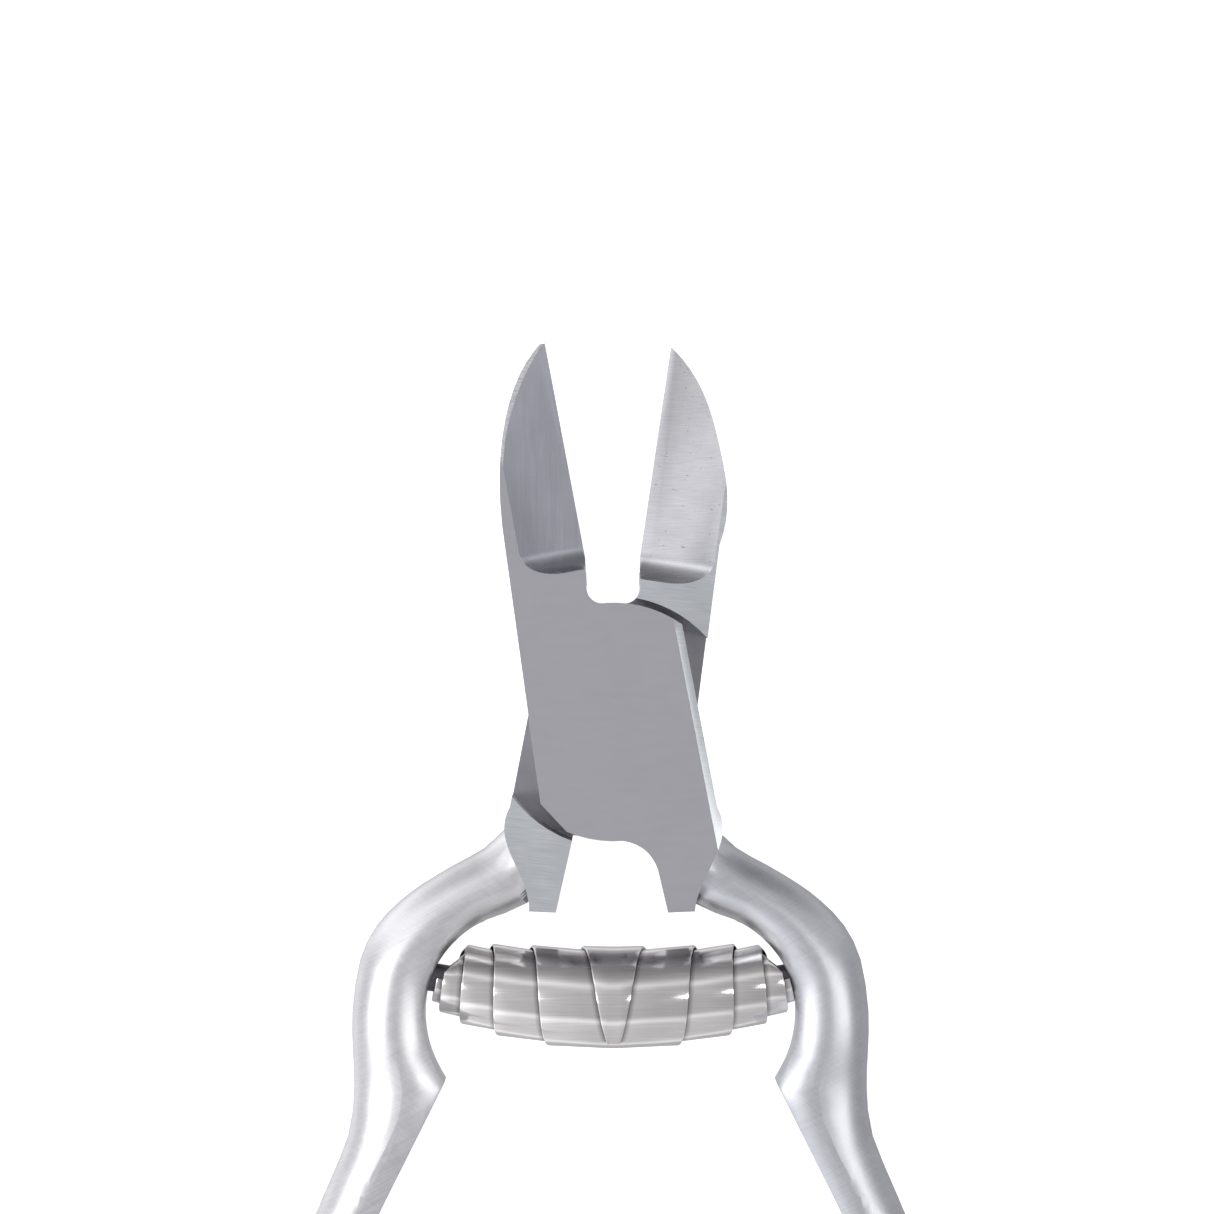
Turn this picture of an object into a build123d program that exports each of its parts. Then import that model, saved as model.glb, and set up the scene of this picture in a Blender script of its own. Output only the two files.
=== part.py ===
from build123d import *
import os
from math import cos, pi, radians, sin, sqrt

os.makedirs("parts", exist_ok=True)

# Nail nipper lying on its back: +Y towards the jaw tips, +X to the right, +Z out of the front
# faces. The origin is on the pivot axis, at the flush rear face of the joint. Millimetres.

# ---- joint ----
joint_thickness = 9.0
mid_height = joint_thickness / 2
lap_clearance = 0.04       # between the two half laps
lap_radius = 9.95          # rounded ends of a half lap
shoulder_radius = 10.5     # the hollow shoulders that the laps turn in

# ---- pivot rivet ----
rivet_radius = 2.5
rivet_head_radius = 4.0
rivet_head_depth = 1.2
rivet_length = 7.5         # ends inside the front lever, whose front face is unbroken
running_clearance = 0.03

# ---- jaws ----
edge_gap = 0.03            # left between the cutting edges when the jaws are closed
meeting_line_x = 0.2       # the closed edges meet beside the pivot centre
edge_height = 5.6          # height of the cutting edges above the rear face
heel_length = 13.9         # pivot to the inner end of a cutting edge
hollow_radius = 14.0       # wheel that hollows the front of a blade
hollow_corner = 2.3        # rounded rim of that wheel
relief_angle = 24.0        # a blade falls away behind its cutting edge
rear_taper_start = 12.0    # pivot to where the rear face starts to rise
rear_tip_height = 2.6      # how far it has risen at the jaw tip
cut_length = 40.0          # longer than any jaw
cut_width = 30.0           # wider than any jaw

# ---- handles: outer edge x, y, heading in degrees, width, thickness ----
sections_per_station = 2
handle_stations = [
    (8.3, -8.7, -50, 5.4, 7.0),
    (10.4, -10.75, -38, 5.9, 7.4),
    (13.0, -12.2, -31, 5.4, 7.4),
    (15.5, -13.7, -34, 5.7, 7.4),
    (17.5, -15.2, -42, 6.3, 7.4),
    (19.5, -17.3, -54, 7.0, 7.4),
    (20.9, -20.2, -70, 6.9, 7.4),
    (21.55, -24.5, -88, 7.0, 7.4),
    (21.5, -28.0, -91, 7.5, 7.4),
    (21.4, -31.0, -90, 8.9, 7.3),
    (21.9, -35.0, -76, 7.2, 7.2),
    (24.0, -40.1, -67, 6.4, 7.0),
    (28.0, -50.0, -70, 6.4, 6.7),
    (31.2, -61.5, -77, 6.5, 6.5),
    (32.9, -75.0, -86, 6.6, 6.3),
    (32.6, -88.5, -95, 6.6, 6.2),
    (30.9, -99.0, -102, 6.4, 6.1),
    (29.6, -104.6, -106, 5.9, 5.7),
    (28.6, -107.4, -107, 4.6, 4.6),
    (27.6, -108.6, -107, 2.6, 2.6),
    (26.9, -108.9, -107, 1.0, 1.0),
]
scoop = [(10.7, -17.0), (13.1, -18.8), (14.9, -21.7), (15.45, -24.6), (14.95, -27.9), (13.7, -30.4)]
facet_end = (18.5, -40.0)
facet_fade = [(22.7, -50.0), (25.2, -61.0), (26.3, -74.0)]

# ---- spring pegs ----
peg_radius = 1.2
peg_root = 2.2             # length inside the handle
peg_reach = 3.0            # length inside the spring
peg_x = 14.75              # where a peg leaves its handle
peg_y = -21.75
peg_tilt = 9.0
peg_bevel = 0.3

# ---- barrel spring: one strip, wound from both ends towards the middle ----
spring_y = -22.2
spring_half_length = 13.9
spring_tip = 0.4           # half width of the strip's pointed outer end
strip_thickness = 0.2
strip_width = 6.5
steps_per_turn = 8
strip_steps = 41
strip_inner_radius = 1.8
strip_pitch = 0.22         # least growth of the radius in a turn
strip_swell = 1.25         # extra growth, mostly in the inner turns
strip_swell_power = 2.8


def on_circle(x, radius):
    """Height of a circle round the pivot, over x."""
    return sqrt(radius**2 - x**2)


def smooth_station(place):
    """Handle station at `place`, counted in stations, on a smooth curve through the listed ones."""
    last = len(handle_stations) - 1
    index = min(int(place), last - 1)
    part = place - index
    before, start, end, after = [
        handle_stations[min(max(index + step, 0), last)] for step in (-1, 0, 1, 2)
    ]
    return [
        b + part * (c - a + part * (2 * a - 5 * b + 4 * c - d + part * (3 * (b - c) + d - a))) / 2
        for a, b, c, d in zip(before, start, end, after)
    ]


def make_handle(spread):
    """A right handle: rounded sections along its outer edge, with the inner side ground away."""
    with BuildPart() as handle:
        for step in range(sections_per_station * (len(handle_stations) - 1) + 1):
            x, y, heading, width, thickness = smooth_station(step / sections_per_station)
            turn = radians(heading)
            inward = Vector(sin(turn), -cos(turn), 0)
            center = Vector(x + spread, y, mid_height) + inward * (width / 2)
            with BuildSketch(Plane(origin=center, x_dir=inward, z_dir=(cos(turn), sin(turn), 0))):
                Ellipse(width / 2, thickness / 2)
        loft(ruled=True)
        inside = [Vector(x + spread, y) for x, y in scoop]
        fade = [Vector(x + spread, y) for x, y in facet_fade]
        end = Vector(facet_end[0] + spread, facet_end[1])
        with BuildSketch():
            with BuildLine():
                Spline(*inside)
                Line(inside[-1], end)
                Spline(end, *fade, tangents=[end - inside[-1], (0, -1)])
                Polyline(fade[-1], (10, -75), (8, -17), inside[0])
            make_face()
        extrude(amount=joint_thickness, mode=Mode.SUBTRACT)
    return handle


def make_lever(lean, edge_x, jaw_back, tip, hollow, spread, front_lap):
    """One lever, drawn with its jaw on the left and its handle on the right.

    lean: angle of the jaw from +Y. edge_x: place of the cutting edge beside the jaw's own centre
    line. jaw_back: points of the jaw's outer edge, measured from the cutting edge. tip: length of
    the jaw and width of its blunt end. hollow: width and start of the ground hollow. spread: how
    much further out the handle stands. front_lap: whether the front half of the lap is kept.
    """
    turn = radians(lean)
    along = Vector(-sin(turn), cos(turn), 0)
    across = Vector(cos(turn), sin(turn), 0)
    tip_length, tip_flat = tip
    hollow_width, hollow_start = hollow

    def jaw(x, y, z=0.0):
        return across * x + along * y + Vector(0, 0, z)

    lap_left = Vector(-6.07, -6.83)
    lap_corner = Vector(-3.9, -on_circle(3.9, lap_radius))
    lap_low = Vector(0.8, -on_circle(0.8, lap_radius))
    lap_right = Vector(5.72, on_circle(5.72, lap_radius))
    notch_floor = Vector(-0.6, on_circle(0.6, lap_radius))
    notch_side = jaw(edge_x - 0.3, heel_length - 2.2)
    block_top = Vector(8.65, -7.1)
    block_low = Vector(6.8 + spread / 2, -15.8)
    inner_corner = Vector(4.55 + spread / 2, -15.9)
    inner_top = Vector(3.7, -12.3) if front_lap else Vector(3.4, -9.7)
    jaw_base = jaw(edge_x - 6.4, 15.9)
    tip_back = jaw(edge_x - tip_flat, tip_length)

    # the wheel touches the cutting edge and leaves the front face at the far side of the hollow
    rise = joint_thickness - edge_height
    half_chord = sqrt(hollow_width**2 + rise**2) / 2
    lift = sqrt(hollow_radius**2 - half_chord**2) / (2 * half_chord)
    wheel_x = edge_x - hollow_width / 2 + rise * lift
    wheel_z = edge_height + rise / 2 + hollow_width * lift
    wheel_plane = Plane(origin=jaw(wheel_x, hollow_start, wheel_z), x_dir=along, z_dir=across)

    handle = make_handle(spread)
    with BuildPart() as lever:
        # flat body: jaw, half lap and shoulder in one outline
        with BuildSketch():
            with BuildLine():
                Line(jaw(edge_x, tip_length), jaw(edge_x, heel_length))
                Line(jaw(edge_x, heel_length), notch_side)
                ThreePointArc(notch_side, jaw(edge_x - 0.15, 10.45), notch_floor)
                RadiusArc(notch_floor, lap_right, lap_radius)
                Line(lap_right, block_top)
                Spline(block_top, (9.1, -9.2), (8.0, -12.3), block_low)
                Line(block_low, inner_corner)
                Line(inner_corner, inner_top)
                if front_lap:
                    Spline(inner_top, (2.7, -10.75), lap_low)
                else:
                    Line(inner_top, lap_low)
                RadiusArc(lap_low, lap_corner, lap_radius)
                Line(lap_corner, lap_left)
                Line(lap_left, jaw_base)
                Spline(jaw_base, *[jaw(edge_x + x, y) for x, y in jaw_back], tip_back)
                if tip_flat > 0:
                    Line(tip_back, jaw(edge_x, tip_length))
            make_face()
        extrude(amount=joint_thickness)

        # the rear face rises towards the jaw tip
        slope = rear_tip_height / (tip_length - rear_taper_start)
        with BuildSketch(Plane(origin=jaw(-cut_width / 2, 0), x_dir=along, z_dir=across)):
            Polygon(
                (rear_taper_start, 0),
                (cut_length, slope * (cut_length - rear_taper_start)),
                (cut_length, -1),
                (rear_taper_start, -1),
                align=None,
            )
        extrude(amount=cut_width, mode=Mode.SUBTRACT)

        # relief behind the cutting edge
        relief = (edge_height + 1) * sin(radians(relief_angle))
        with BuildSketch(Plane(origin=jaw(0, heel_length - 1.2), x_dir=-across, z_dir=along)):
            Polygon(
                (-edge_x, edge_height),
                (-edge_x - 1, edge_height),
                (-edge_x - 1, -1),
                (-edge_x + relief, -1),
                align=None,
            )
        extrude(amount=cut_length, mode=Mode.SUBTRACT)

        # ground hollow in the front of the blade
        with BuildSketch(wheel_plane):
            with BuildLine():
                rim = hollow_radius - hollow_corner
                Line((0, 0), (0, rim))
                RadiusArc((0, rim), (hollow_corner, hollow_radius), hollow_corner)
                Line((hollow_corner, hollow_radius), (cut_length, hollow_radius))
                Line((cut_length, hollow_radius), (cut_length, 0))
                Line((cut_length, 0), (0, 0))
            make_face()
        revolve(axis=Axis(wheel_plane.origin, along), mode=Mode.SUBTRACT)

        # the other lever's half of the joint
        cut = mid_height + lap_clearance / 2
        with Locations((0, 0, 0 if front_lap else joint_thickness - cut)):
            Cylinder(
                shoulder_radius,
                cut,
                align=(Align.CENTER, Align.CENTER, Align.MIN),
                mode=Mode.SUBTRACT,
            )
        add(handle.part)
        if not front_lap:
            mirror(about=Plane.YZ, mode=Mode.REPLACE)
    return lever


def peg_plane(side):
    """Plane across a spring peg where it leaves its handle, facing out into the handle."""
    tilt = radians(peg_tilt)
    return Plane(origin=(side * peg_x, peg_y, mid_height), z_dir=(side * cos(tilt), sin(tilt), 0))


# ---- front lever: jaw left, handle right ----
front_blank = make_lever(
    lean=10.6,
    edge_x=meeting_line_x - edge_gap / 2,
    jaw_back=[(-6.04, 20.2), (-5.64, 22.4), (-4.0, 27.5), (-2.74, 29.8)],
    tip=(32.3, 0.45),
    hollow=(5.35, 12.95),
    spread=0.0,
    front_lap=True,
)
with BuildPart() as front_lever:
    add(front_blank.part)
    Cylinder(rivet_radius, 2 * rivet_length, mode=Mode.SUBTRACT)
    with Locations(peg_plane(1)):
        Cylinder(
            peg_radius,
            peg_root,
            align=(Align.CENTER, Align.CENTER, Align.MIN),
            mode=Mode.SUBTRACT,
        )

# ---- rear lever: jaw right, handle left ----
rear_blank = make_lever(
    lean=8.35,
    edge_x=-meeting_line_x - edge_gap / 2,
    jaw_back=[(-6.6, 18.9), (-5.3, 23.85), (-3.1, 28.6)],
    tip=(31.87, 0.0),
    hollow=(6.15, 12.1),
    spread=0.5,
    front_lap=False,
)
with BuildPart() as rear_lever:
    add(rear_blank.part)
    Cylinder(rivet_radius + running_clearance, 2 * rivet_length, mode=Mode.SUBTRACT)
    Cylinder(
        rivet_head_radius + running_clearance,
        2 * (rivet_head_depth + running_clearance),
        mode=Mode.SUBTRACT,
    )
    with Locations(peg_plane(-1)):
        Cylinder(
            peg_radius,
            peg_root,
            align=(Align.CENTER, Align.CENTER, Align.MIN),
            mode=Mode.SUBTRACT,
        )

# ---- pivot rivet: pressed into the front lever, its head turns in the rear lever ----
with BuildPart() as pivot_rivet:
    Cylinder(rivet_radius, rivet_length, align=(Align.CENTER, Align.CENTER, Align.MIN))
    Cylinder(rivet_head_radius, rivet_head_depth, align=(Align.CENTER, Align.CENTER, Align.MIN))

# ---- spring pegs ----
pegs = {}
for name, side in (("spring_peg_right", 1), ("spring_peg_left", -1)):
    with BuildPart() as peg:
        with Locations(peg_plane(side)):
            Cylinder(peg_radius, peg_root, align=(Align.CENTER, Align.CENTER, Align.MIN))
            Cylinder(peg_radius, peg_reach, align=(Align.CENTER, Align.CENTER, Align.MAX))
        chamfer(edges().sort_by(Axis.X)[0 if side > 0 else -1], peg_bevel)
    pegs[name] = peg

# ---- barrel spring: one wound arm, then its mirror image ----
strip_turns = strip_steps / steps_per_turn
strip_drop = (spring_half_length - spring_tip) / strip_turns**2
with BuildPart() as barrel_spring:
    for step in range(strip_steps + 1):
        turns = step / steps_per_turn
        swell = strip_swell * (1 - (1 - turns / strip_turns) ** strip_swell_power)
        radius = strip_inner_radius + strip_pitch * turns + swell + strip_thickness / 2
        outer = spring_half_length - strip_drop * turns**2
        inner = max(outer - strip_width, 0)
        angle = 2 * pi * turns
        center = (
            (outer + inner) / 2,
            spring_y - radius * sin(angle),
            mid_height + radius * cos(angle),
        )
        with BuildSketch(Plane(origin=center, x_dir=(1, 0, 0), z_dir=(0, cos(angle), sin(angle)))):
            Rectangle(outer - inner, strip_thickness)
    loft(ruled=True)
    mirror(about=Plane.YZ)

# ---- files ----
finished = {
    "front_lever": front_lever,
    "rear_lever": rear_lever,
    "pivot_rivet": pivot_rivet,
    "barrel_spring": barrel_spring,
    **pegs,
}
for name, piece in finished.items():
    piece.part.label = name
    export_step(piece.part, f"parts/{name}.step")
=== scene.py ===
from math import cos, pi, radians, sin

import bmesh
import bpy
import numpy as np
from mathutils import Euler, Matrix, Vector


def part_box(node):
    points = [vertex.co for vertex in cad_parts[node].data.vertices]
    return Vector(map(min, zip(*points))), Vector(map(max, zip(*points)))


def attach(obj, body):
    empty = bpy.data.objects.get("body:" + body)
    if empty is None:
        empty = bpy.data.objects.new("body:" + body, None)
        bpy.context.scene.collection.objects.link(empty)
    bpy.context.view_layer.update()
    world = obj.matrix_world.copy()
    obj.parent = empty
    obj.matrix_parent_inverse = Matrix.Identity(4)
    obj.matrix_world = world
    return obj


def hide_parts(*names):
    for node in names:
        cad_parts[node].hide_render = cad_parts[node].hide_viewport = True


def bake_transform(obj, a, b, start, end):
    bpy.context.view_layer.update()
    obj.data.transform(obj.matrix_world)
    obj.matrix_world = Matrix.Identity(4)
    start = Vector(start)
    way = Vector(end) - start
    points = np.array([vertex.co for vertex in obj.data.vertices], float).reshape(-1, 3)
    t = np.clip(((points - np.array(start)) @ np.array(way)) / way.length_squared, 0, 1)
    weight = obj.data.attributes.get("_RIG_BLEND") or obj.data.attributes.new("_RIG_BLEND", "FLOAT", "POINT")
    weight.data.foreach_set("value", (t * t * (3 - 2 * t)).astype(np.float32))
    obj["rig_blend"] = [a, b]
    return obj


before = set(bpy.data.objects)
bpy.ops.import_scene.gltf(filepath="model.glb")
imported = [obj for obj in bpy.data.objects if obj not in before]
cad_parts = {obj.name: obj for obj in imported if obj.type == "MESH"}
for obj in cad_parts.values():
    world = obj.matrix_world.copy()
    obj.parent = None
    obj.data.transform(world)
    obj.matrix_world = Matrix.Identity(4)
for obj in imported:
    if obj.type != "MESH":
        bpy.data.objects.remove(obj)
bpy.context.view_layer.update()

MM = 0.001
JOINT_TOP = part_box("front_lever")[1][2]          # front face of the joint
MID_HEIGHT = JOINT_TOP / 2

# ---- camera: straight down on the front faces, jaws at the top ----
VIEW_CENTER = Vector((-0.54, 9.58, 0.0)) * MM
VIEW_WIDTH = 101.17 * MM
LENS = 120.0
SENSOR = 36.0
NEAR_CLIP = 10 * MM

camera_data = bpy.data.cameras.new("camera")
camera_data.lens = LENS
camera_data.sensor_width = SENSOR
camera_data.clip_start = NEAR_CLIP
camera = bpy.data.objects.new("camera", camera_data)
camera.location = VIEW_CENTER + Vector((0, 0, JOINT_TOP + VIEW_WIDTH * LENS / SENSOR))
bpy.context.scene.collection.objects.link(camera)
bpy.context.scene.camera = camera
bpy.context.scene.view_settings.view_transform = "Standard"


# ---- materials ----
class Nodes:
    """Short calls for building one material's node tree."""

    def __init__(self, name):
        self.material = bpy.data.materials.new(name)
        self.material.use_nodes = True
        self.tree = self.material.node_tree
        self.shader = self.tree.nodes["Principled BSDF"]
        self.place = self.tree.nodes.new("ShaderNodeTexCoord").outputs["Object"]

    def add(self, kind, **values):
        node = self.tree.nodes.new(kind)
        for key, value in values.items():
            if hasattr(node, key):
                setattr(node, key, value)
            else:
                node.inputs[key.replace("_", " ")].default_value = value
        return node

    def link(self, output, target):
        self.tree.links.new(output, target)

    def noise(self, scale, turn=0.0, detail=3.0, roughness=0.55):
        """Noise in millimetre-sized cells: a longer cell along one axis makes brush lines."""
        turned = self.add("ShaderNodeMapping")
        turned.inputs["Rotation"].default_value = (0, 0, radians(turn))
        self.link(self.place, turned.inputs["Vector"])
        sized = self.add("ShaderNodeMapping")
        sized.inputs["Scale"].default_value = [1 / (MM * cell) for cell in scale]
        self.link(turned.outputs["Vector"], sized.inputs["Vector"])
        noise = self.add("ShaderNodeTexNoise", Scale=1.0, Detail=detail, Roughness=roughness)
        self.link(sized.outputs["Vector"], noise.inputs["Vector"])
        return noise.outputs["Fac"]

    def ramp(self, value, stops):
        ramp = self.add("ShaderNodeValToRGB")
        points = ramp.color_ramp.elements
        while len(points) < len(stops):
            points.new(0.5)
        for point, (place, color) in zip(points, stops):
            point.position = place
            point.color = (*color, 1) if isinstance(color, tuple) else (color, color, color, 1)
        self.link(value, ramp.inputs["Fac"])
        return ramp.outputs["Color"]

    def mix(self, amount, first, second, blend="MIX"):
        mix = self.add("ShaderNodeMix", data_type="RGBA", blend_type=blend)
        sockets = [s for s in mix.inputs if s.type == "RGBA"]
        factor = mix.inputs[0]
        if isinstance(amount, float):
            factor.default_value = amount
        else:
            self.link(amount, factor)
        for source, socket in zip((first, second), sockets):
            if isinstance(source, tuple):
                socket.default_value = (*source, 1)
            else:
                self.link(source, socket)
        return [s for s in mix.outputs if s.type == "RGBA"][0]

    def bump(self, height, strength, distance):
        bump = self.add("ShaderNodeBump", Strength=strength, Distance=distance * MM)
        self.link(height, bump.inputs["Height"])
        last = self.shader.inputs["Normal"]
        if last.is_linked:
            self.link(last.links[0].from_socket, bump.inputs["Normal"])
        self.link(bump.outputs["Normal"], last)


def steel(
    name,
    color,
    roughness,
    grain=(6, 0.05, 0.05),
    turn=0.0,
    depth=0.004,
    cloud=0.86,
    streak=0.35,
    spots=None,
    shade=None,
    rim=None,
):
    """Ground or brushed steel.

    roughness is its least and most. grain is the size of a brush mark, turn its direction and
    depth its depth. cloud and streak say how much the colour varies. spots is the colour of small
    rust marks. shade names a point attribute of the mesh that darkens the steel where it is 1.
    rim is the centre and radius of a circle outside which the steel is left rough and light.
    """
    nodes = Nodes(name)
    nodes.shader.inputs["Metallic"].default_value = 1.0
    lines = nodes.noise(grain, turn, detail=4.0)
    clouds = nodes.noise((5, 5, 5), detail=2.0)
    dark = tuple(cloud * c for c in color)
    tone = nodes.mix(nodes.ramp(clouds, [(0.3, 0.0), (0.7, 1.0)]), dark, color)
    streaked = nodes.mix(streak, tone, nodes.ramp(lines, [(0.3, 0.55), (0.7, 1.0)]), "MULTIPLY")
    if spots:
        place = nodes.noise((0.5, 0.16, 0.5), turn=8.0, detail=1.0)
        streaked = nodes.mix(nodes.ramp(place, [(0.73, 0.0), (0.76, 0.7)]), streaked, spots)
    if shade:
        dimmed = nodes.add("ShaderNodeAttribute", attribute_name=shade).outputs["Fac"]
        streaked = nodes.mix(dimmed, streaked, (0.10, 0.09, 0.09))
    low, high = roughness
    rough = nodes.ramp(lines, [(0.25, low), (0.75, high)])
    if rim:
        (x, y), radius = rim
        flat = nodes.add("ShaderNodeVectorMath", operation="MULTIPLY")
        flat.inputs[1].default_value = (1, 1, 0)
        nodes.link(nodes.place, flat.inputs[0])
        away = nodes.add("ShaderNodeVectorMath", operation="DISTANCE")
        away.inputs[1].default_value = (x * MM, y * MM, 0)
        nodes.link(flat.outputs["Vector"], away.inputs[0])
        beyond = nodes.add("ShaderNodeMapRange")
        beyond.inputs["From Min"].default_value = (radius - 0.04) * MM
        beyond.inputs["From Max"].default_value = (radius + 0.04) * MM
        nodes.link(away.outputs["Value"], beyond.inputs["Value"])
        pits = nodes.ramp(nodes.noise((0.3, 0.15, 0.3), detail=3.0), [(0.35, 0.72), (0.6, 0.95)])
        streaked = nodes.mix(beyond.outputs["Result"], streaked, pits)
        rough = nodes.mix(beyond.outputs["Result"], rough, (0.55, 0.55, 0.55))
    nodes.link(streaked, nodes.shader.inputs["Base Color"])
    nodes.link(rough, nodes.shader.inputs["Roughness"])
    nodes.bump(lines, 0.6, depth)
    return nodes.material


def satin_handle(name, color):
    """Hand-finished handle steel: crossing diagonal scratches over soft clouding."""
    nodes = Nodes(name)
    nodes.shader.inputs["Metallic"].default_value = 1.0
    fine = nodes.noise((1.4, 0.04, 0.6), 38.0, detail=4.0)
    long_marks = nodes.noise((3.5, 0.09, 1.5), -28.0, detail=3.0)
    marks = nodes.mix(0.45, fine, long_marks)
    clouds = nodes.noise((3, 3, 3), detail=3.0)
    dark = tuple(0.94 * c for c in color)
    tone = nodes.mix(nodes.ramp(clouds, [(0.35, 0.0), (0.65, 1.0)]), dark, color)
    worn = nodes.mix(0.4, tone, nodes.ramp(marks, [(0.35, 0.6), (0.62, 1.0)]), "MULTIPLY")
    nodes.link(worn, nodes.shader.inputs["Base Color"])
    nodes.link(nodes.ramp(marks, [(0.3, 0.3), (0.7, 0.48)]), nodes.shader.inputs["Roughness"])
    nodes.bump(marks, 0.6, 0.004)
    return nodes.material


def circle_through(first, second, third, lean):
    """Centre and radius of the circle through three points given in a jaw that leans by `lean`."""
    turned = [Vector((p[0], p[1], 0)) for p in (first, second, third)]
    for point in turned:
        point.rotate(Euler((0, 0, radians(lean))))
    a, b, c = turned
    ab, ac = b - a, c - a
    twice = 2 * (ab.x * ac.y - ab.y * ac.x)
    center_x = a.x + (ac.y * ab.length_squared - ab.y * ac.length_squared) / twice
    center_y = a.y + (ab.x * ac.length_squared - ac.x * ab.length_squared) / twice
    radius = (Vector((center_x, center_y, 0)) - a).length
    return (center_x, center_y), radius


# the rough band along the outside of the left jaw, in millimetres
LEFT_RIM = circle_through((-5.15, 22.6), (-3.35, 27.6), (0.1, 32.4), 10.6)
STEELS = {
    "lap": steel(
        "lap_steel",
        (0.70, 0.70, 0.73),
        (0.16, 0.22),
        (2.5, 0.5, 0.5),
        depth=0.0003,
        cloud=0.97,
        streak=0.05,
    ),
    "ground": steel(
        "ground_steel", (0.86, 0.89, 0.92), (0.28, 0.42), (3.0, 0.05, 1.0), 6.0, streak=0.5
    ),
    "blade_left": steel(
        "left_blade_steel",
        (0.62, 0.62, 0.68),
        (0.2, 0.3),
        (0.3, 5.0, 2.0),
        cloud=0.93,
        streak=0.12,
        rim=LEFT_RIM,
    ),
    "blade_right": steel(
        "right_blade_steel",
        (0.72, 0.72, 0.74),
        (0.2, 0.3),
        (3.0, 0.05, 1.0),
        spots=(0.25, 0.11, 0.06),
    ),
    # dark colour painted as shade on the sunk faces of the joint and on the legs' faces towards the spring;
    # its roughness and bump are the surface's own
    "painted_shade_nook": steel("painted_shade_nook_steel", (0.42, 0.41, 0.44), (0.4, 0.7), (0.5, 0.25, 0.5), depth=0.02),
    "edge": steel("edge_steel", (0.92, 0.94, 0.96), (0.35, 0.55), (0.3, 0.1, 0.1), depth=0.006),
    # the handles are lit and shaded copies of one steel: the right one is darker as painted shade, the left
    # one brighter as painted light
    "handle_left_painted_light": satin_handle("left_handle_steel_painted_light", (0.92, 0.92, 0.93)),
    "handle_right_painted_shade": satin_handle("right_handle_steel_painted_shade", (0.74, 0.75, 0.78)),
}
# the near-black colour of the spring pegs is painted shade
PEG_STEEL_PAINTED_SHADE = steel("peg_steel", (0.22, 0.20, 0.24), (0.35, 0.6), (0.3, 0.3, 0.3), depth=0.01)
SPRING_STEEL = steel(
    "spring_steel",
    (0.97, 0.945, 0.92),
    (0.10, 0.22),
    (0.12, 5.0, 5.0),
    90.0,
    0.001,
    streak=0.22,
    shade="contact_shade",
)


# ---- levers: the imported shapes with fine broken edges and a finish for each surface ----
EDGE_BREAK = 0.12 * MM
WELD_DISTANCE = 0.001 * MM
SMOOTH_ANGLE = radians(30)
SHARP_ANGLE = radians(30)
RIVET_ZONE = 4.3 * MM
FLAT_ENOUGH = 0.9995           # faces square to the pivot axis are shaded flat
JOINT_RADIUS = 10.7            # reaches just past the hollow shoulders, in millimetres
JAW_START = 8.0                # pivot to where a jaw begins
HOLLOW_START = 11.0            # pivot to where its ground hollow begins
RIM_START = 20.0               # pivot to where its outer rim is left rough
LEG_END = 17.0                 # pivot to below the shoulders' legs
LEG_REACH = 7.5                # half the width over both legs


def finish_of(center, normal, left_jaw):
    """Name of the finish at a point of a lever, from where it is and which way it faces."""
    x, y, z = (value / MM for value in center)
    radius = (x * x + y * y) ** 0.5
    top = JOINT_TOP / MM
    # sunk faces inside the joint take the dark steel painted as shade
    if radius < JOINT_RADIUS and normal.z > 0.9 and z < top - 1:
        return "painted_shade_nook"
    if normal.z > 0.99 and z > top - 0.05:
        return "lap" if left_jaw else "ground"
    if left_jaw and 0.85 < normal.z < 0.99 and z > top - 0.4 and abs(y) < 15:
        return "ground"
    outward = -normal.x if left_jaw else normal.x
    if y > RIM_START and 0.1 < normal.z < 0.95 and outward > 0.2:
        return "edge"
    if y > HOLLOW_START and normal.z > 0.3 and z < top - 0.02:
        return "blade_left" if left_jaw else "blade_right"
    if y > JAW_START:
        return "ground"
    # faces of the legs towards the spring take the dark steel painted as shade
    if -LEG_END < y < -JAW_START and abs(x) < LEG_REACH and normal.y < -0.5:
        return "painted_shade_nook"
    if radius < JOINT_RADIUS:
        return "ground" if abs(normal.z) > 0.9 else "edge"
    # the handle on the right side takes the darker copy painted as shade, the handle on the left the
    # brighter copy painted as light
    return "handle_right_painted_shade" if left_jaw else "handle_left_painted_light"


# chamfer along the right side of the front half lap: a point on the side, its direction, width
CHAMFER_POINT = Vector((5.72, 8.14, 0)) * MM
CHAMFER_OUTWARD = Vector((15.24, 2.93, 0)).normalized()
CHAMFER_WIDTH = 0.62 * MM
CHAMFER_SLOPE = 0.27


def cut_lap_chamfer(form):
    """Cuts the front face beside the side of the half lap and lowers what lies outside."""
    start = CHAMFER_POINT - CHAMFER_OUTWARD * CHAMFER_WIDTH
    everything = form.verts[:] + form.edges[:] + form.faces[:]
    bmesh.ops.bisect_plane(form, geom=everything, dist=1e-7, plane_co=start, plane_no=CHAMFER_OUTWARD)
    for vert in form.verts:
        beyond = CHAMFER_OUTWARD.dot(vert.co - start)
        if beyond > 0 and vert.co.z > JOINT_TOP - 0.01 * MM:
            vert.co.z -= CHAMFER_SLOPE * beyond


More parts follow.
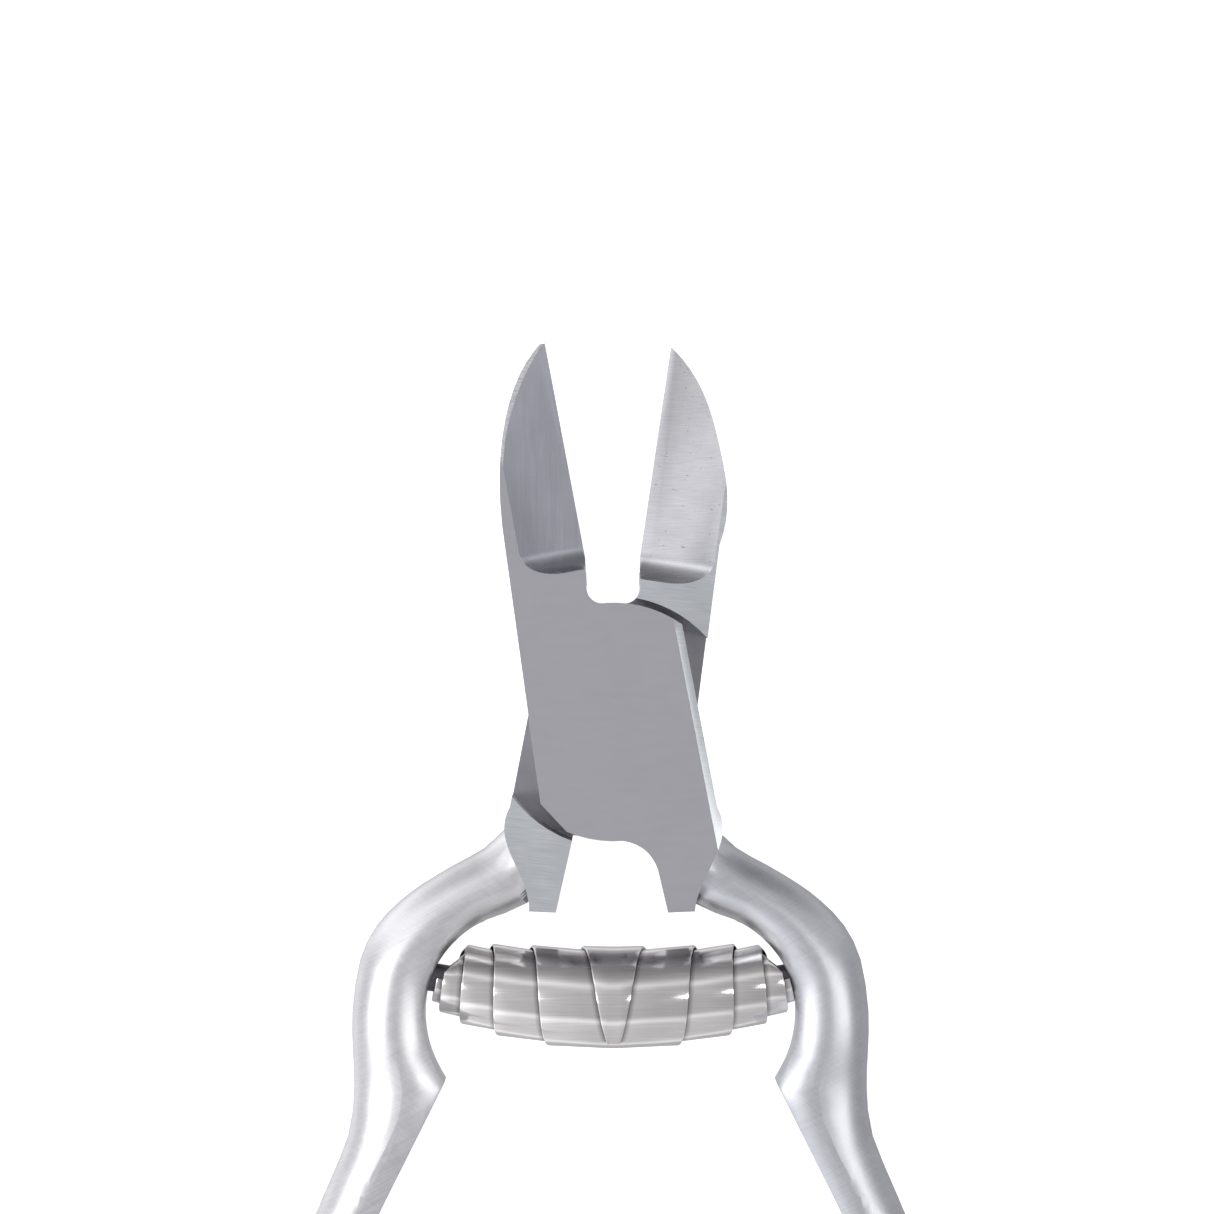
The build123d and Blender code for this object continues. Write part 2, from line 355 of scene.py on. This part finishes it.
def mark_sharp_edges(mesh, front_lap):
    """Welds the mesh, cuts the chamfer, and marks for the bevel all sharp edges but the rivet's."""
    form = bmesh.new()
    form.from_mesh(mesh)
    bmesh.ops.remove_doubles(form, verts=form.verts, dist=WELD_DISTANCE)
    bmesh.ops.recalc_face_normals(form, faces=form.faces)
    if front_lap:
        cut_lap_chamfer(form)
    weight = form.edges.layers.float.new("bevel_weight_edge")
    for edge in form.edges:
        middle = (edge.verts[0].co + edge.verts[1].co) / 2
        at_rivet = middle.xy.length < RIVET_ZONE
        sharp = edge.is_manifold and edge.calc_face_angle() > SHARP_ANGLE
        edge[weight] = 1.0 if sharp and not at_rivet else 0.0
    form.to_mesh(mesh)
    form.free()
    if "custom_normal" in mesh.attributes:
        mesh.attributes.remove(mesh.attributes["custom_normal"])


def finished_lever(node, left_jaw):
    """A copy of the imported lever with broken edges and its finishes, in place of the node."""
    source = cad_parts[node]
    lever = bpy.data.objects.new(node.replace("lever", "lever_finished"), source.data.copy())
    bpy.context.scene.collection.objects.link(lever)
    mark_sharp_edges(lever.data, left_jaw)
    bevel = lever.modifiers.new("bevel", "BEVEL")
    bevel.width = EDGE_BREAK
    bevel.segments = 2
    bevel.limit_method = "WEIGHT"
    bevel.use_clamp_overlap = True
    shape = bpy.data.meshes.new_from_object(lever.evaluated_get(bpy.context.evaluated_depsgraph_get()))
    lever.modifiers.clear()
    lever.data = shape
    names = list(STEELS)
    shape.materials.clear()
    for name in names:
        shape.materials.append(STEELS[name])
    for face in shape.polygons:
        face.material_index = names.index(finish_of(face.center, face.normal, left_jaw))
        face.use_smooth = True
    shape.set_sharp_from_angle(angle=SMOOTH_ANGLE)
    for face in shape.polygons:
        face.use_smooth = abs(face.normal.z) < FLAT_ENOUGH
    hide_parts(node)
    return lever


front_lever = finished_lever("front_lever", True)
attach(front_lever, "front")
rear_lever = finished_lever("rear_lever", False)
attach(rear_lever, "rear")

for node in ("pivot_rivet", "spring_peg_left", "spring_peg_right"):
    # the pegs take the near-black steel painted as shade
    material = PEG_STEEL_PAINTED_SHADE if "peg" in node else STEELS["lap"]
    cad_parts[node].material_slots[0].material = material

# ---- barrel spring: one V-shaped strip, wound from both ends on a bowed axis ----
BOW_RADIUS = 60 * MM
SPRING_CENTER = Vector((0, -23.45 * MM, MID_HEIGHT))
TURNS = 5.15
HALF_LENGTH = 15.0 * MM
LENGTH_LOSS = 0.545 * MM       # how fast the turns step in towards the middle
STRIP_WIDTH = 6.5 * MM
STRIP_THICKNESS = 0.22 * MM
ROWS_PER_TURN = 48
EDGE_ROUND = 0.14 * MM         # the strip's outer edge is rounded over this width
EDGE_DROP = (0, 0, 0, 0, 0, 0, 0.035 * MM, 0.13 * MM)   # at each place across the strip
SHADE_WIDTH = 0.45 * MM        # shadow beside the edge of the turn on top
SHADE = (0, 0.8, 0.8, 0.45, 0, 0, 0, 0)                 # at each place across the strip
LEAST_STEP = 0.03 * MM         # between two places across the strip
COLUMNS = len(SHADE) - 1
CLEAR_OF_HANDLE = 1.9 * MM     # the inner turns stay this much shorter at the top
SLIDING_TURNS = 4.0            # turns that slide when the spring is squeezed
CORE_RADIUS = 1.75 * MM        # inside of the first turn
PITCH = 0.25 * MM              # least growth of the radius in a turn
SWELL = 1.2 * MM               # extra growth, mostly in the inner turns
SWELL_POWER = 2.6


def strip_radius(turn):
    """Inside radius of the strip after so many turns."""
    return CORE_RADIUS + PITCH * turn + SWELL * (1 - (1 - turn / TURNS) ** SWELL_POWER)


def strip_point(along, radius, angle):
    """Point on a turn: angle 0 is the front, and a quarter turn later the bottom."""
    bend = along / BOW_RADIUS
    center = SPRING_CENTER + Vector((BOW_RADIUS * sin(bend), BOW_RADIUS * (1 - cos(bend)), 0))
    outward = Vector((-sin(bend), cos(bend), 0))
    return center - outward * (radius * sin(angle)) + Vector((0, 0, radius * cos(angle)))


def outer_edge(turn):
    """How far from the middle of the spring the strip's outer edge is."""
    limit = HALF_LENGTH - CLEAR_OF_HANDLE * max(0.0, -sin(2 * pi * turn))
    return min(HALF_LENGTH - LENGTH_LOSS * turn * turn, limit)


def strip_places(turn):
    """Places across the strip from its inner to its outer edge, close together where it bends."""
    outer = outer_edge(turn)
    inner = max(HALF_LENGTH - LENGTH_LOSS * turn * turn - STRIP_WIDTH, 0.0)
    over = outer_edge(turn + 1) if turn + 1 < TURNS else inner
    marks = (
        inner,
        over - SHADE_WIDTH,
        over,
        over + SHADE_WIDTH / 3,
        over + SHADE_WIDTH,
        outer - EDGE_ROUND,
        outer - EDGE_ROUND / 3,
        outer,
    )
    return [
        min(max(mark, inner + number * LEAST_STEP), outer - (COLUMNS - number) * LEAST_STEP)
        for number, mark in enumerate(marks)
    ]


def wound_strip():
    """Vertices, faces, blend weights and shades of the strip, both arms."""
    rows = int(TURNS * ROWS_PER_TURN)
    points, faces, weights, shades = [], [], [], []
    index = {}
    for row in range(rows + 1):
        turn = TURNS * row / rows
        angle = 2 * pi * turn
        places = strip_places(turn)
        hold = max(0.0, 1 - turn / SLIDING_TURNS)
        for side in (1, -1):
            for column, place in enumerate(places):
                for layer in (0, 1):
                    if side == -1 and place == 0.0:
                        index[row, side, column, layer] = index[row, 1, column, layer]
                        continue
                    radius = strip_radius(turn) + layer * (STRIP_THICKNESS - EDGE_DROP[column])
                    index[row, side, column, layer] = len(points)
                    points.append(strip_point(side * place, radius, angle))
                    weights.append(0.5 - 0.5 * side * hold)
                    shades.append(SHADE[column] if turn + 1 < TURNS else 0.0)
    for side in (1, -1):
        for row in range(rows):
            for column in range(COLUMNS):
                for layer in (0, 1):
                    quad = [
                        index[row, side, column, layer],
                        index[row + 1, side, column, layer],
                        index[row + 1, side, column + 1, layer],
                        index[row, side, column + 1, layer],
                    ]
                    faces.append(quad if (layer == 1) == (side == 1) else quad[::-1])
            for column, flip in ((0, False), (COLUMNS, True)):
                quad = [
                    index[row, side, column, 0],
                    index[row + 1, side, column, 0],
                    index[row + 1, side, column, 1],
                    index[row, side, column, 1],
                ]
                middle = index[row, 1, 0, 0] == index[row, -1, 0, 0]
                if column == 0 and middle:
                    continue
                faces.append(quad if flip == (side == -1) else quad[::-1])
        for row, flip in ((0, False), (rows, True)):
            for column in range(COLUMNS):
                quad = [
                    index[row, side, column, 0],
                    index[row, side, column, 1],
                    index[row, side, column + 1, 1],
                    index[row, side, column + 1, 0],
                ]
                faces.append(quad if flip == (side == -1) else quad[::-1])
    return points, faces, weights, shades


points, faces, weights, shades = wound_strip()
spring_mesh = bpy.data.meshes.new("barrel_spring_strip")
spring_mesh.from_pydata(points, [], faces)
spring_mesh.attributes.new("contact_shade", "FLOAT", "POINT").data.foreach_set("value", shades)
spring_mesh.materials.append(SPRING_STEEL)
for face in spring_mesh.polygons:
    face.use_smooth = True
spring_mesh.set_sharp_from_angle(angle=radians(40))
spring = bpy.data.objects.new("barrel_spring_strip", spring_mesh)
bpy.context.scene.collection.objects.link(spring)
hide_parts("barrel_spring")
ends = [tuple(SPRING_CENTER + Vector((side * HALF_LENGTH, 0, 0))) for side in (1, -1)]
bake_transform(spring, "front", "rear", start=ends[0], end=ends[1])
spring_mesh.attributes["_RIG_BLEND"].data.foreach_set("value", np.array(weights, np.float32))

# ---- floor and light ----
FLOOR_SIZE = 16.0
floor_mesh = bpy.data.meshes.new("floor")
half = FLOOR_SIZE / 2
floor_mesh.from_pydata(
    [(-half, -half, 0), (half, -half, 0), (half, half, 0), (-half, half, 0)], [], [(0, 1, 2, 3)]
)
floor = bpy.data.objects.new("floor", floor_mesh)
floor.location.z = -0.3 * MM
bpy.context.scene.collection.objects.link(floor)
floor_nodes = Nodes("floor_white")
floor_nodes.shader.inputs["Base Color"].default_value = (0.93, 0.93, 0.93, 1)
floor_nodes.shader.inputs["Roughness"].default_value = 0.9
floor_nodes.shader.inputs["Emission Color"].default_value = (1, 1, 1, 1)
floor_nodes.shader.inputs["Emission Strength"].default_value = 0.8
floor_mesh.materials.append(floor_nodes.material)
floor.visible_glossy = False   # the steel mirrors the grey lower half of the studio instead

# brightness of the studio by the sideways and lengthwise parts of a direction
ACROSS = [
    (-1.0, 0.55),
    (-0.8, 1.0),
    (-0.5, 0.85),
    (-0.3, 0.55),
    (0.0, 0.5),
    (0.45, 0.4),
    (0.75, 0.5),
    (1.0, 0.4),
]
LENGTHWISE = [
    (-1.0, 0.6),
    (-0.86, 0.65),
    (-0.78, 1.0),
    (-0.66, 0.48),
    (0.38, 0.5),
    (0.54, 0.85),
    (0.7, 0.42),
    (0.88, 0.26),
    (1.0, 0.22),
]
STUDIO_STRENGTH = 2.0

world = bpy.data.worlds.new("studio")
bpy.context.scene.world = world
world.use_nodes = True
tree = world.node_tree
direction = tree.nodes.new("ShaderNodeTexCoord").outputs["Generated"]
split = tree.nodes.new("ShaderNodeSeparateXYZ")
tree.links.new(direction, split.inputs["Vector"])
product = tree.nodes.new("ShaderNodeMix")
product.data_type = "RGBA"
product.blend_type = "MULTIPLY"
product.inputs[0].default_value = 1.0
mixed = [socket for socket in product.inputs if socket.type == "RGBA"]
for axis, stops, socket in zip("XY", (ACROSS, LENGTHWISE), mixed):
    centered = tree.nodes.new("ShaderNodeMapRange")
    centered.inputs["From Min"].default_value = -1.0
    tree.links.new(split.outputs[axis], centered.inputs["Value"])
    ramp = tree.nodes.new("ShaderNodeValToRGB")
    points = ramp.color_ramp.elements
    while len(points) < len(stops):
        points.new(1.0)
    for point, (place, level) in zip(points, stops):
        point.position = (place + 1) / 2
        point.color = (level, level, level * 1.02, 1)
    tree.links.new(centered.outputs["Result"], ramp.inputs["Fac"])
    tree.links.new(ramp.outputs["Color"], socket)
result = [socket for socket in product.outputs if socket.type == "RGBA"][0]
tree.links.new(result, tree.nodes["Background"].inputs["Color"])
tree.nodes["Background"].inputs["Strength"].default_value = STUDIO_STRENGTH


def softbox(name, place, size, power):
    """A rectangular lamp that faces the joint."""
    light = bpy.data.lights.new(name, "AREA")
    light.shape = "RECTANGLE"
    light.size, light.size_y = size
    light.energy = power
    lamp = bpy.data.objects.new(name, light)
    lamp.location = place
    lamp.rotation_euler = (-Vector(place)).to_track_quat("-Z", "Y").to_euler()
    bpy.context.scene.collection.objects.link(lamp)


softbox("left_softbox", (-0.22, -0.03, 0.20), (0.07, 0.25), 0.16)
softbox("right_softbox", (0.20, -0.03, 0.22), (0.025, 0.25), 0.12)
